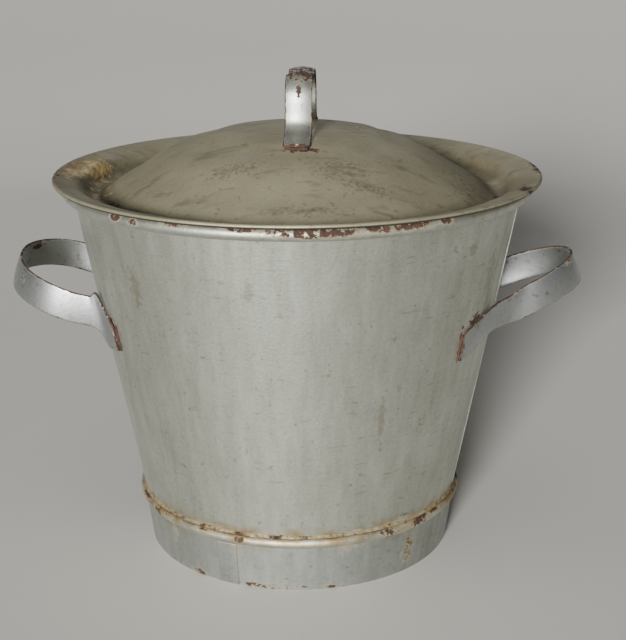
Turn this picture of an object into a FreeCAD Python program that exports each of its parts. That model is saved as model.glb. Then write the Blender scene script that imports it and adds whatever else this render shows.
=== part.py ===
import FreeCAD, Part
import math
import os

# A lidded pail of zinc-dipped sheet steel, used as a stock pot.
# Millimetres.  +Z is up, the origin is at the middle of the foot's ring on the floor,
# and the two side handles lie along X.  Radii are of the outer face unless a name says otherwise.

V = FreeCAD.Vector

# --- driving dimensions ---------------------------------------------------------------
SHEET = 0.9                    # gauge of every pressed or rolled sheet
GAP = 0.05                     # play left between nested pieces of one body

# tapered wall
WALL_FOOT_RADIUS = 101.4       # where the wall meets the top of the foot ring's bead
WALL_FOOT_Z = 35.6
WALL_TOP_RADIUS = 137.7        # just under the curled rim
WALL_TOP_Z = 227.3
WALL_BOTTOM_Z = 17.0           # the wall runs on down inside the foot ring
WALL_SLOPE = (WALL_TOP_RADIUS - WALL_FOOT_RADIUS) / (WALL_TOP_Z - WALL_FOOT_Z)
WALL_ANGLE = math.atan(WALL_SLOPE)
SEAM_AZIMUTH = -14.0           # degrees, the wall's folded side seam, under the right handle
SEAM_WIDTH = 7.0
SEAM_RISE = 0.8

# curled rim
RIM_WIRE_RADIUS = 2.75
RIM_CENTRE_Z = 230.9
RIM_CURL_END = -112.0          # degrees round the wire at which the sheet's edge stops

# bottom and foot ring
BOTTOM_Z = 27.0                # underside of the bottom disc
BOTTOM_FLANGE_Z = 18.0         # lower edge of its turned-down flange
FOOT_RADIUS = 97.7             # at the floor
FOOT_BAND_RADIUS = 101.5       # at the underside of the bead
FOOT_BAND_Z = 29.4
BEAD_Z = 32.6                  # middle of the half-round bead
BEAD_RISE = 2.9                # how far it stands out from the band
BEAD_TOP_Z = 36.0
FOOT_LAP_AZIMUTH = -116.0      # degrees, where the ring's two ends lap
FOOT_LAP_WIDTH = 13.0

# lid
LID_RADIUS = 150.0
LID_EDGE_Z = 238.0             # top of the hemmed edge
HEM_RADIUS = 1.3
BRIM_SLOPE = math.radians(15.0)
LID_TOP_Z = 264.8

# strap handles
STRAP = 1.6                    # thickness of the strap
STRAP_SECTIONS = 44            # cross-sections that a strap is lofted through
WELD_RADIUS = 0.8
SIDE_STRAP_WIDTH = 18.6
SIDE_CROWN = 0.5               # how far the middle of the strap stands out from its edges
HANDLE_REACH = 175.5           # from the pot's axis to the outer end of either strap's middle line

# Each side handle, bent by hand: (distance from the pot's axis, half width) from the nose in,
# then (azimuth in degrees, height, distance off the wall) of the end that lies against the wall.
LEFT_LOOP = [(HANDLE_REACH, 0), (172.3, 21.5), (163, 39), (147, 49.5), (131, 50.5), (121, 50.5)]
LEFT_FOOT = [(25.0, 153.8, 2.1), (29.0, 149.8, 1.2)]
LEFT_NOSE_Z = 179.6
LEFT_TILT = math.radians(18.0)
LEFT_LEAN = -0.025             # rise per unit along the loop's width: one leg sits higher
RIGHT_LOOP = [(HANDLE_REACH, 0), (171.0, 16), (161.5, 26), (145, 34.5), (129, 39.5)]
RIGHT_FOOT = [(23.0, 156.0, 3.2), (31.0, 151.8, 0.95), (39.5, 146.6, 0.95)]
RIGHT_NOSE_Z = 177.2
RIGHT_TILT = math.radians(22.0)
RIGHT_LEAN = 0.0

# Lid handle: (distance from its middle, height) of one leg from the top down to the foot's end.
# The strap sags a little between its two shoulders.
LID_STRAP_WIDTH = 16.3
LID_CROWN = 1.3
LID_LEG = [(0, 294.6), (17, 297.2), (25.8, 291), (28.4, 280), (30.5, 270), (36.5, 265.2)]
LID_FOOT = [(45, 263.2), (53, 261.2)]
LID_HANDLE_TURN = -3.4         # degrees about +Z, away from square to the side handles
LID_HANDLE_SHIFT = 2.6         # along X


# --- shared geometry ------------------------------------------------------------------
def wall_radius(z):
    """Radius of the wall's outer face at height z."""
    return WALL_FOOT_RADIUS + WALL_SLOPE * (z - WALL_FOOT_Z)


def polar(radius, azimuth, z):
    """Point at a radius and an azimuth in degrees round the pot's axis."""
    turn = math.radians(azimuth)
    return V(radius * math.cos(turn), radius * math.sin(turn), z)


def profile_point(radius, z):
    return V(radius, 0, z)


def line(start, end):
    return Part.LineSegment(start, end).toShape()


def arc(centre, radius, start_angle, end_angle):
    """Arc in the XZ plane through its middle angle; angles in degrees from +X towards +Z."""
    def at(angle):
        turn = math.radians(angle)
        return centre + V(radius * math.cos(turn), 0, radius * math.sin(turn))
    return Part.Arc(at(start_angle), at((start_angle + end_angle) / 2), at(end_angle)).toShape()


def revolve(edges, start_azimuth=0.0, sweep=360.0):
    """Turn a closed profile in the XZ plane about the pot's axis."""
    face = Part.Face(Part.Wire(Part.__sortEdges__(edges)))
    solid = face.revolve(V(0, 0, 0), V(0, 0, 1), sweep)
    solid.rotate(V(0, 0, 0), V(0, 0, 1), start_azimuth)
    return solid


def polygon_edges(points):
    return [line(a, b) for a, b in zip(points, points[1:] + points[:1])]


def strip_azimuths(azimuth, width, radius):
    """Start azimuth and sweep, in degrees, of a strip of this width centred on an azimuth."""
    sweep = math.degrees(width / radius)
    return azimuth - sweep / 2, sweep


# --- pot: wall, wire, bottom, foot ----------------------------------------------------
def rim_centre():
    """Middle of the rim wire: the wall's sheet runs tangent into the curl round it."""
    curl_radius = RIM_WIRE_RADIUS + GAP + SHEET / 2
    tangent_z = RIM_CENTRE_Z + curl_radius * math.sin(WALL_ANGLE)
    tangent_radius = wall_radius(tangent_z) - SHEET / 2 / math.cos(WALL_ANGLE)
    return profile_point(tangent_radius + curl_radius * math.cos(WALL_ANGLE), RIM_CENTRE_Z)


def body_wall():
    """One tapered sheet, its top edge curled outward round the rim wire."""
    centre = rim_centre()
    inner = RIM_WIRE_RADIUS + GAP
    outer = inner + SHEET
    start = 180.0 - math.degrees(WALL_ANGLE)
    inner_arc = arc(centre, inner, start, RIM_CURL_END)
    outer_arc = arc(centre, outer, start, RIM_CURL_END)
    foot_outer = profile_point(wall_radius(WALL_BOTTOM_Z), WALL_BOTTOM_Z)
    foot_inner = foot_outer - V(SHEET / math.cos(WALL_ANGLE), 0, 0)
    edges = [
        line(foot_outer, inner_arc.valueAt(inner_arc.FirstParameter)),
        inner_arc,
        line(inner_arc.valueAt(inner_arc.LastParameter), outer_arc.valueAt(outer_arc.LastParameter)),
        outer_arc,
        line(outer_arc.valueAt(outer_arc.FirstParameter), foot_inner),
        line(foot_inner, foot_outer),
    ]
    return revolve(edges).fuse(side_seam()).removeSplitter()


def side_seam():
    """The wall's folded lock seam: a low strip up the outside, from the bead to the curl."""
    low, high = BEAD_TOP_Z + 2.0, WALL_TOP_Z - 1.0
    start, sweep = strip_azimuths(SEAM_AZIMUTH, SEAM_WIDTH, (wall_radius(low) + wall_radius(high)) / 2)
    buried = SHEET / 2
    outline = [
        profile_point(wall_radius(low) - buried, low),
        profile_point(wall_radius(low) + SEAM_RISE, low),
        profile_point(wall_radius(high) + SEAM_RISE, high),
        profile_point(wall_radius(high) - buried, high),
    ]
    return revolve(polygon_edges(outline), start, sweep)


def rim_wire():
    return Part.makeTorus(rim_centre().x, RIM_WIRE_RADIUS, V(0, 0, RIM_CENTRE_Z))


def bottom_disc():
    """Flat disc with a flange turned down inside the wall."""
    def inside_wall(z):
        return wall_radius(z) - SHEET / math.cos(WALL_ANGLE) - GAP
    top = BOTTOM_Z + SHEET
    outline = [
        profile_point(0, BOTTOM_Z),
        profile_point(inside_wall(BOTTOM_Z) - SHEET, BOTTOM_Z),
        profile_point(inside_wall(BOTTOM_FLANGE_Z) - SHEET, BOTTOM_FLANGE_Z),
        profile_point(inside_wall(BOTTOM_FLANGE_Z), BOTTOM_FLANGE_Z),
        profile_point(inside_wall(top), top),
        profile_point(0, top),
    ]
    return revolve(polygon_edges(outline))


def fillet_ring(radius, z, out, up):
    """Ring of solder that fills the corner between a level face and the wall."""
    corner = profile_point(radius, z)
    foot = profile_point(radius + out, z)
    head = profile_point(radius + up * WALL_SLOPE, z + up)
    return revolve(polygon_edges([corner, foot, head]))


def bottom_solder():
    """Solder run round the corner between the bottom disc and the wall, inside."""
    z = BOTTOM_Z + SHEET + GAP
    radius = wall_radius(z) - SHEET / math.cos(WALL_ANGLE) - GAP
    return fillet_ring(radius, z, -3.5, 3.5)


def foot_solder():
    """Solder run in the crevice between the bead's top lip and the wall, outside."""
    z = BEAD_TOP_Z + GAP
    return fillet_ring(wall_radius(z) + GAP, z, 1.5, 2.4)


def foot_ring():
    """Hoop that the pot stands on: a tapered band with a half-round bead at its top."""
    floor = profile_point(FOOT_RADIUS, 0)
    under_bead = profile_point(FOOT_BAND_RADIUS, FOOT_BAND_Z)
    crest = profile_point(FOOT_BAND_RADIUS + BEAD_RISE, BEAD_Z)
    lip = profile_point(wall_radius(BEAD_TOP_Z) + GAP + SHEET, BEAD_TOP_Z)
    step = V(SHEET, 0, 0)
    lip_inner = lip - step
    under_inner = under_bead - step
    crest_inner = crest - step
    edges = [
        line(floor, under_bead),
        Part.Arc(under_bead, crest, lip).toShape(),
        line(lip, lip_inner),
        Part.Arc(lip_inner, crest_inner, under_inner).toShape(),
        line(under_inner, floor - step),
        line(floor - step, floor),
    ]
    return revolve(edges).fuse(foot_lap()).removeSplitter()


def foot_lap():
    """Outer end of the ring's band, lapped over the inner end."""
    start, sweep = strip_azimuths(FOOT_LAP_AZIMUTH, FOOT_LAP_WIDTH, FOOT_RADIUS)
    buried = SHEET / 2
    slope = (FOOT_BAND_RADIUS - FOOT_RADIUS) / FOOT_BAND_Z
    low, high = 0.6, FOOT_BAND_Z - 0.4
    outline = [
        profile_point(FOOT_RADIUS + slope * low - buried, low),
        profile_point(FOOT_RADIUS + slope * low + SHEET * 0.8, low),
        profile_point(FOOT_RADIUS + slope * high + SHEET * 0.8, high),
        profile_point(FOOT_RADIUS + slope * high - buried, high),
    ]
    return revolve(polygon_edges(outline), start, sweep)


# --- lid ------------------------------------------------------------------------------
def hem_centre():
    return profile_point(LID_RADIUS - HEM_RADIUS, LID_EDGE_Z - HEM_RADIUS)


def lid_top_points():
    """Upper face from the axis to the edge: raised cap, low step, dome flank, well, brim."""
    cap = [(0, LID_TOP_Z), (22, LID_TOP_Z - 0.5), (38, LID_TOP_Z - 1.5), (48, LID_TOP_Z - 2.9)]
    step = [(54, LID_TOP_Z - 4.9), (60, LID_TOP_Z - 7.1), (66, LID_TOP_Z - 8.5)]
    flank = [(73, LID_TOP_Z - 10.6), (84, LID_TOP_Z - 16.2), (98, LID_TOP_Z - 25.3), (110, LID_TOP_Z - 32.4)]
    well = [(117.5, LID_TOP_Z - 37.6), (122.8, LID_TOP_Z - 40.0), (127.6, LID_TOP_Z - 38.4)]
    rise = V(math.cos(BRIM_SLOPE), 0, math.sin(BRIM_SLOPE))
    brim_end = hem_centre() + V(-rise.z, 0, rise.x) * HEM_RADIUS
    brim = [brim_end - rise * 14.5, brim_end - rise * 7.0, brim_end]
    return [profile_point(radius, z) for radius, z in cap + step + flank + well] + brim


def smooth_curve(points):
    curve = Part.BSplineCurve()
    curve.interpolate(points)
    return curve


def lid_shell():
    """One pressed sheet with a hemmed edge."""
    points = lid_top_points()
    top = smooth_curve(points)
    under_points = []
    for point in points:
        along = top.tangent(top.parameter(point))[0]
        under_points.append(point + V(along.z, 0, -along.x) * SHEET)
    under_points[0] = points[0] - V(0, 0, SHEET)
    under = smooth_curve(under_points)
    edges = [
        top.toShape(),
        line(points[-1], under_points[-1]),
        under.toShape(),
        line(under_points[0], points[0]),
    ]
    centre = hem_centre()
    hem = Part.makeTorus(centre.x, HEM_RADIUS, V(0, 0, centre.z))
    return revolve(edges).fuse(hem)


# --- strap handles --------------------------------------------------------------------
def blend_direction(stations, directions, at):
    """Direction at a place along the strap, eased from one station to the next."""
    for index in range(len(stations) - 1):
        low, high = stations[index], stations[index + 1]
        if at <= high:
            share = (at - low) / (high - low)
            share = share * share * (3 - 2 * share)
            return directions[index] * (1 - share) + directions[index + 1] * share
    return directions[-1]


def strap_section(place, across, normal, width, crown):
    """Closed outline across the strap: two crowned faces and two square edges."""
    def at(side, level):
        bulge = normal * (crown * (1 - side * side))
        return place + across * (width / 2 * side) + normal * (STRAP / 2 * level) + bulge
    outer = Part.Arc(at(-1, 1), at(0, 1), at(1, 1)).toShape()
    inner = Part.Arc(at(1, -1), at(0, -1), at(-1, -1)).toShape()
    return Part.Wire([outer, line(at(1, 1), at(1, -1)), inner, line(at(-1, -1), at(-1, 1))])


def strap(path, width_directions, width, crown):
    """Crowned strap along a smooth curve; each point of the path has its own width direction.

    Where a width direction leans along the strap, as at a slanting bend, the section is longer
    by as much, so that the strap keeps its true width.
    """
    curve = smooth_curve(path)
    stations = [curve.parameter(point) for point in path]
    length = curve.length()
    sections = []
    for index in range(STRAP_SECTIONS):
        share = index / (STRAP_SECTIONS - 1)
        at = stations[-1] if index == STRAP_SECTIONS - 1 else curve.parameterAtDistance(length * share)
        across = blend_direction(stations, width_directions, at)
        square = curve.tangent(at)[0].cross(across)
        stretch = 1 / square.Length
        sections.append(strap_section(curve.value(at), across * stretch, square * stretch, width, crown))
    return Part.makeLoft(sections, True, False)


def mirrored(points):
    """A leg's points and the same leg across the XZ plane, as one path from end to end."""
    return [V(p.x, -p.y, p.z) for p in reversed(points[1:])] + points


def on_wall(azimuth, z, stand_off):
    return polar(wall_radius(z) + stand_off / math.cos(WALL_ANGLE), azimuth, z)


def up_the_wall(azimuth):
    """Direction straight up the tapered wall's face."""
    return polar(math.sin(WALL_ANGLE), azimuth, math.cos(WALL_ANGLE))


def side_handle(nose_z, tilt, lean, loop, foot):
    """Strap on edge, bent to a U whose outer end is raised, its ends turned out on the wall.

    loop: (distance from the pot's axis, half width) from the nose to the wall.
    foot: (azimuth in degrees, height, distance off the wall) of the end that lies against the wall.
    """
    leg = [V(u, v, nose_z - (HANDLE_REACH - u) * math.tan(tilt)) for u, v in loop]
    directions = [V(-math.sin(tilt), 0, math.cos(tilt)) for _ in loop]
    directions[-1] = up_the_wall(foot[0][0])
    for azimuth, z, stand_off in foot:
        leg.append(on_wall(azimuth, z, stand_off))
        directions.append(up_the_wall(azimuth))
    path = [point + V(0, 0, lean * point.y) for point in mirrored(leg)]
    return strap(path, mirrored(directions), SIDE_STRAP_WIDTH, SIDE_CROWN)


def weld_bead(start, end, radius):
    """Short run of weld metal: a rod with round ends."""
    along = end - start
    rod = Part.makeCylinder(radius, along.Length, start, along)
    return rod.fuse([Part.makeSphere(radius, start), Part.makeSphere(radius, end)]).removeSplitter()


def foot_welds(lean, foot):
    """One bead along the cut end of each foot of a side handle, on the wall."""
    azimuth, z, _ = foot[-1]
    reach = SIDE_STRAP_WIDTH * 0.45
    beads = []
    for side in (-1, 1):
        middle = z + side * lean * wall_radius(z) * math.sin(math.radians(azimuth))
        low, high = (on_wall(side * (azimuth + 0.25), middle + rise, 0.4) for rise in (-reach, reach))
        beads.append(weld_bead(low, high, WELD_RADIUS))
    return Part.makeCompound(beads)


def lid_handle_path():
    leg = [V(0, -reach, z) for reach, z in LID_LEG + LID_FOOT]
    return mirrored(leg)


def place_lid_handle(shape):
    shape.rotate(V(0, 0, 0), V(0, 0, 1), LID_HANDLE_TURN)
    shape.translate(V(LID_HANDLE_SHIFT, 0, 0))
    return shape


def lid_handle():
    path = lid_handle_path()
    return place_lid_handle(strap(path, [V(1, 0, 0)] * len(path), LID_STRAP_WIDTH, LID_CROWN))


def lid_handle_welds():
    """One bead along the cut end of each foot, on the raised cap."""
    reach, z = LID_FOOT[-1]
    half = LID_STRAP_WIDTH * 0.42
    beads = []
    for side in (-1, 1):
        place = V(0, side * (reach + 0.5), z - STRAP / 2)
        beads.append(weld_bead(place - V(half, 0, 0), place + V(half, 0, 0), WELD_RADIUS))
    return place_lid_handle(Part.makeCompound(beads))


# --- write every piece ----------------------------------------------------------------
def turned(shape, azimuth):
    shape.rotate(V(0, 0, 0), V(0, 0, 1), azimuth)
    return shape


PIECES = {
    "body_wall": body_wall(),
    "rim_wire": rim_wire(),
    "bottom_disc": bottom_disc(),
    "bottom_solder": bottom_solder(),
    "foot_ring": foot_ring(),
    "foot_solder": foot_solder(),
    "left_handle": turned(side_handle(LEFT_NOSE_Z, LEFT_TILT, LEFT_LEAN, LEFT_LOOP, LEFT_FOOT), 180),
    "left_handle_welds": turned(foot_welds(LEFT_LEAN, LEFT_FOOT), 180),
    "right_handle": side_handle(RIGHT_NOSE_Z, RIGHT_TILT, RIGHT_LEAN, RIGHT_LOOP, RIGHT_FOOT),
    "right_handle_welds": foot_welds(RIGHT_LEAN, RIGHT_FOOT),
    "lid_shell": lid_shell(),
    "lid_handle": lid_handle(),
    "lid_handle_welds": lid_handle_welds(),
}

os.makedirs("parts", exist_ok=True)
for name, shape in PIECES.items():
    shape.exportStep(f"parts/{name}.step")
    box = shape.BoundBox
    print(f"{name}: valid {shape.isValid()}, solids {len(shape.Solids)}, {shape.Volume:.0f} mm3, "
          f"X {box.XMin:.1f}..{box.XMax:.1f} Y {box.YMin:.1f}..{box.YMax:.1f} Z {box.ZMin:.1f}..{box.ZMax:.1f}")
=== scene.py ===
# %% [markdown]
# # A lidded zinc pot
# The object is an old lidded pail, rolled and pressed from thin steel sheet, dipped in zinc and used as a
# stock pot. It has a tapered wall with its top edge curled round a wire, a beaded hoop that it stands on,
# two side handles bent from flat strap, and a loose domed lid with a strap handle of its own.
#
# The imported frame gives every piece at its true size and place. Here each piece gets a finer mesh at the
# same place, and the finish that long use leaves on zinc.

# %% Load the frame
import math

import bmesh
import bpy
import numpy as np
from mathutils import Matrix, Vector


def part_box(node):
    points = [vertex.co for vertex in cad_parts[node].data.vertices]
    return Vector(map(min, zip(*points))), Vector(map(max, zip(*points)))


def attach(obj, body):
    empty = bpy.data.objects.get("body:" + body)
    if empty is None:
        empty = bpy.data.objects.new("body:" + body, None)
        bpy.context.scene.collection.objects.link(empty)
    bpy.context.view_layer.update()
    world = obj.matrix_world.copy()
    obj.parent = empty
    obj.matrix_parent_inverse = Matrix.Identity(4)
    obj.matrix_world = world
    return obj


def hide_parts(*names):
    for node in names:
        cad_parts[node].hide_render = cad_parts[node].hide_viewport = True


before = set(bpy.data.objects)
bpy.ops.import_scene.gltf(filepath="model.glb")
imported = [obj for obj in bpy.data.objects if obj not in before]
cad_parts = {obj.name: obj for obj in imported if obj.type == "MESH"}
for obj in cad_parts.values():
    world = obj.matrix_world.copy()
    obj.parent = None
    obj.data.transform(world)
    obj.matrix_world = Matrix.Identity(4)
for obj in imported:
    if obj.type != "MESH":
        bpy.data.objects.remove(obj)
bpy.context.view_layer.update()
MM = 0.001

# %% [markdown]
# ## Camera
# The view looks down a little on the pot, with the side handles to the left and right. A long lens from
# under a metre gives a close but gentle perspective. The camera is built from three directions, because
# that states pitch, yaw and roll without a chain of Euler turns.

# %% Camera
CAMERA_PLACE = Vector((0.0, -0.832, 0.400))
CAMERA_PITCH = math.radians(17.35)
CAMERA_YAW = math.radians(0.64)
CAMERA_ROLL = math.radians(0.23)
CAMERA_LENS = 76.4


def camera_turn(pitch, yaw, roll):
    """Rotation matrix of a camera that looks along +Y, lowered by pitch and turned by yaw and roll."""
    forward = Vector((math.sin(yaw) * math.cos(pitch), math.cos(yaw) * math.cos(pitch), -math.sin(pitch)))
    right = Vector((math.cos(yaw), -math.sin(yaw), 0.0))
    up = right.cross(forward)
    right, up = right * math.cos(roll) - up * math.sin(roll), right * math.sin(roll) + up * math.cos(roll)
    return Matrix((right, up, -forward)).transposed().to_4x4()


camera_data = bpy.data.cameras.new("camera")
camera_data.lens = CAMERA_LENS
camera = bpy.data.objects.new("camera", camera_data)
bpy.context.scene.collection.objects.link(camera)
camera.matrix_world = Matrix.Translation(CAMERA_PLACE) @ camera_turn(CAMERA_PITCH, CAMERA_YAW, CAMERA_ROLL)
bpy.context.scene.camera = camera
print(f"camera {CAMERA_LENS} mm at {tuple(CAMERA_PLACE)}")

# %% [markdown]
# ## A node helper and a colour helper
# Every node tree below is wired by one function that adds a node, gives it settings and connects its
# inputs. An input may be given a plain value, another node's output, or just the other node, which then
# means its first live output. Colours are written in sRGB hex and turned to linear once.

# %% Helpers for node trees and colours


def plug(tree, value, socket):
    """Gives a socket a plain value, or links it to an output or to a node's first live output."""
    if isinstance(value, bpy.types.Node):
        value = next(output for output in value.outputs if output.enabled)
    if isinstance(value, bpy.types.NodeSocket):
        tree.links.new(value, socket)
    else:
        socket.default_value = value


def add(tree, kind, inputs=None, **settings):
    """Adds one node. inputs maps a socket's number, or the name of a live socket, to what it is given."""
    node = tree.nodes.new(kind)
    for name, value in settings.items():
        setattr(node, name, value)
    for key, value in (inputs or {}).items():
        live = [socket for socket in node.inputs if socket.enabled and socket.name == key]
        plug(tree, value, live[0] if live else node.inputs[key])
    return node


def linear(hex_colour):
    """sRGB hex such as #8B8C7F as linear RGBA."""
    levels = [int(hex_colour[i:i + 2], 16) / 255 for i in (1, 3, 5)]
    return tuple(v / 12.92 if v <= 0.04045 else ((v + 0.055) / 1.055) ** 2.4 for v in levels) + (1.0,)


# %% [markdown]
# ## Floor and light
# The stage is a wide pale floor, level round the pot and rising very gently further out, so that it closes
# off the view behind the pot from any side. Weathered zinc is a rough mirror, so it is lit by one broad key
# from just left of the camera: the middle of the wall is bright and both sides fall off. The key is a sun
# with a wide disc, as from a large soft box far away. Two weak soft boxes, above and behind, give the lid,
# the bead and the edges something to mirror, and a faint world fills the shade.

# %% Floor
FLOOR_LEVEL = 1.1
FLOOR_RADIUS = 14.0
FLOOR_RISE = 0.12
FLOOR_EASE = 0.8
FLOOR_RINGS = 20


def painted_floor():
    """Matt emulsion paint: nearly white, with no gloss."""
    material = bpy.data.materials.new("matt_floor_paint")
    material.use_nodes = True
    shader = material.node_tree.nodes["Principled BSDF"]
    shader.inputs["Base Color"].default_value = linear("#CFCDC6")
    shader.inputs["Roughness"].default_value = 0.85
    return material


def floor_ring(shape, radius, count=96):
    """One ring of the floor's vertices; past the level part it rises by FLOOR_RISE a metre."""
    beyond = radius - FLOOR_LEVEL
    z = FLOOR_RISE * beyond * beyond / (beyond + FLOOR_EASE)
    turns = [2 * math.pi * i / count for i in range(count)]
    return [shape.verts.new((radius * math.cos(turn), radius * math.sin(turn), z)) for turn in turns]


floor_mesh = bpy.data.meshes.new("floor")
floor_shape = bmesh.new()
spread = [(i / FLOOR_RINGS) ** 2 for i in range(FLOOR_RINGS + 1)]
rings = [floor_ring(floor_shape, FLOOR_LEVEL + (FLOOR_RADIUS - FLOOR_LEVEL) * share) for share in spread]
floor_shape.faces.new(rings[0])
for inner, outer in zip(rings, rings[1:]):
    for i in range(len(inner)):
        floor_shape.faces.new((inner[i - 1], outer[i - 1], outer[i], inner[i]))
floor_shape.to_mesh(floor_mesh)
floor_shape.free()
floor_mesh.shade_smooth()
floor_mesh.materials.append(painted_floor())
floor = bpy.data.objects.new("floor", floor_mesh)
bpy.context.scene.collection.objects.link(floor)
print("floor radius", FLOOR_RADIUS, "m")

# %% Light
AIM = Vector((0.0, 0.0, 0.14))
KEY_FROM = Vector((-0.27, -0.94, 0.33))
KEY_STRENGTH = 8.6
KEY_DISC = math.radians(14.0)
SOFT_BOXES = {
    # name: (place, width, height, power in watts)
    "top": ((-0.2, -0.3, 1.7), 1.2, 1.2, 3.0),
    "back": ((0.1, 1.6, 1.1), 1.2, 0.8, 2.0),
}


def hang_light(name, kind, place):
    """A light at a place, facing the pot."""
    light = bpy.data.lights.new(name, kind)
    holder = bpy.data.objects.new(name, light)
    bpy.context.scene.collection.objects.link(holder)
    toward = (AIM - Vector(place)).to_track_quat("-Z", "Y")
    holder.matrix_world = Matrix.Translation(place) @ toward.to_matrix().to_4x4()
    return light


key = hang_light("key", "SUN", KEY_FROM)
key.energy = KEY_STRENGTH
key.angle = KEY_DISC
for name, (place, width, height, power) in SOFT_BOXES.items():
    light = hang_light(name, "AREA", place)
    light.shape = "RECTANGLE"
    light.size = width
    light.size_y = height
    light.energy = power

world = bpy.data.worlds.new("studio")
world.use_nodes = True
world.node_tree.nodes["Background"].inputs["Color"].default_value = linear("#D8D7D2")
world.node_tree.nodes["Background"].inputs["Strength"].default_value = 0.07
bpy.context.scene.world = world
print("soft boxes:", ", ".join(SOFT_BOXES))

# %% [markdown]
# ## The sizes that shape the sheet
# These are the maker's sizes in millimetres. The lid's radius and top from the frame's box are printed
# beside the values used here, so that a change in the frame shows at once.

# %% Sizes of the sheet-metal pieces
SHEET = 0.9
WALL_FOOT_RADIUS = 101.4
WALL_FOOT_Z = 35.6
WALL_TOP_RADIUS = 137.7
WALL_TOP_Z = 227.3
WALL_BOTTOM_Z = 17.0
WALL_SLOPE = (WALL_TOP_RADIUS - WALL_FOOT_RADIUS) / (WALL_TOP_Z - WALL_FOOT_Z)
WALL_ANGLE = math.atan(WALL_SLOPE)
WIRE_RADIUS = 2.8
CURL_Z = 230.9
FOOT_RADIUS = 97.7
FOOT_BAND_RADIUS = 101.5
FOOT_BAND_Z = 29.4
BEAD_Z = 32.6
BEAD_RISE = 2.9
BEAD_TOP_Z = 36.0
BOTTOM_Z = 27.0
FLANGE_Z = 18.0
LID_RADIUS = 150.0
LID_EDGE_Z = 238.0
HEM_RADIUS = 1.3
BRIM_SLOPE = math.radians(15.0)
LID_TOP_Z = 264.8


def wall_radius(z):
    """Radius of the wall's outer face at height z."""
    return WALL_FOOT_RADIUS + WALL_SLOPE * (z - WALL_FOOT_Z)


lid_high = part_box("lid_shell")[1]
print(f"lid: {lid_high.x / MM:.1f} mm radius in the frame, {LID_RADIUS} here; "
      f"top {lid_high.z / MM:.1f} in the frame, {LID_TOP_Z} here")

# %% [markdown]
# ## Profiles
# The wall, the hoop, the bottom and the lid are all round, so each is one closed outline turned about the
# pot's axis. An outline is a list of (radius, height, give). Give says how far the thin sheet may wander
# from its true circle there: 1 in the middle of a panel and 0 where a wire, a bead or a neighbour holds it.

# %% Helpers for outlines


def straight(start, end, steps, give=0.0):
    """Points from start to just before end, both (radius, height); give rises to its value in mid-span."""
    points = []
    for step in range(steps):
        share = step / steps
        points.append((start[0] + (end[0] - start[0]) * share, start[1] + (end[1] - start[1]) * share,
                       give * math.sin(math.pi * share) ** 0.7))
    return points


def arc(centre, radius, start, end, steps):
    """Points round an arc, angles in degrees from the outward direction towards up, both ends included."""
    turns = [math.radians(start + (end - start) * step / steps) for step in range(steps + 1)]
    return [(centre[0] + radius * math.cos(t), centre[1] + radius * math.sin(t), 0.0) for t in turns]


def arc_through(start, middle, end, steps):
    """Arc through three (radius, height) points."""
    (ax, ay), (bx, by), (cx, cy) = start, middle, end
    d = 2 * (ax * (by - cy) + bx * (cy - ay) + cx * (ay - by))
    a2, b2, c2 = (x * x + y * y for x, y in (start, middle, end))
    ux = (a2 * (by - cy) + b2 * (cy - ay) + c2 * (ay - by)) / d
    uy = (a2 * (cx - bx) + b2 * (ax - cx) + c2 * (bx - ax)) / d
    first, via, last = (math.degrees(math.atan2(y - uy, x - ux)) for x, y in (start, middle, end))
    sweep = (last - first) % 360
    if (via - first) % 360 > sweep:
        sweep -= 360
    return arc((ux, uy), math.hypot(ax - ux, ay - uy), first, first + sweep, steps)


def natural_spline(points, count):
    """count points evenly spread along a smooth curve through the given points, with its tangents."""
    points = np.array(points, float)
    at = np.concatenate([[0], np.cumsum(np.linalg.norm(np.diff(points, axis=0), axis=1))])
    step = np.diff(at)
    size = len(points)
    matrix = np.eye(size)
    right = np.zeros_like(points)
    for i in range(1, size - 1):
        matrix[i, i - 1:i + 2] = step[i - 1], 2 * (step[i - 1] + step[i]), step[i]
        right[i] = 6 * ((points[i + 1] - points[i]) / step[i] - (points[i] - points[i - 1]) / step[i - 1])
    bend = np.linalg.solve(matrix, right)

    def curve(t):
        i = np.clip(np.searchsorted(at, t, side="right") - 1, 0, size - 2)
        a, b = (at[i + 1] - t)[:, None], (t - at[i])[:, None]
        h = step[i][:, None]
        value = (bend[i] * a ** 3 + bend[i + 1] * b ** 3) / (6 * h)
        value += (points[i] / h - bend[i] * h / 6) * a + (points[i + 1] / h - bend[i + 1] * h / 6) * b
        return value

    fine = np.linspace(0, at[-1], 4000)
    length = np.concatenate([[0], np.cumsum(np.linalg.norm(np.diff(curve(fine), axis=0), axis=1))])
    t = np.interp(np.linspace(0, length[-1], count), length, fine)
    small = at[-1] * 1e-5
    tangents = curve(np.minimum(t + small, at[-1])) - curve(np.maximum(t - small, 0))
    tangents /= np.linalg.norm(tangents, axis=1)[:, None]
    return curve(t), tangents, t, at


print("wall leans out by", round(math.degrees(WALL_ANGLE), 2), "degrees")

# %% [markdown]
# ## The lathe
# A Geometry Nodes tree turns an outline about the axis, as a spinning lathe does. A grid has one column
# for each step round the pot and one row for each point of the outline, and every grid point is sent to
# its place. It also lets the sheet wander by a fraction of a millimetre, because a true cone gives the
# dead straight reflections of plastic, and rolled sheet never has them.

# %% Lathe tree


def new_tree(name, sockets):
    """An empty Geometry Nodes tree with named inputs and one geometry output."""
    tree = bpy.data.node_groups.new(name, "GeometryNodeTree")
    for socket, kind in sockets:
        tree.interface.new_socket(name=socket, in_out="INPUT", socket_type=kind)
    tree.interface.new_socket(name="Geometry", in_out="OUTPUT", socket_type="NodeSocketGeometry")
    return tree, add(tree, "NodeGroupInput"), add(tree, "NodeGroupOutput")


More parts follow.
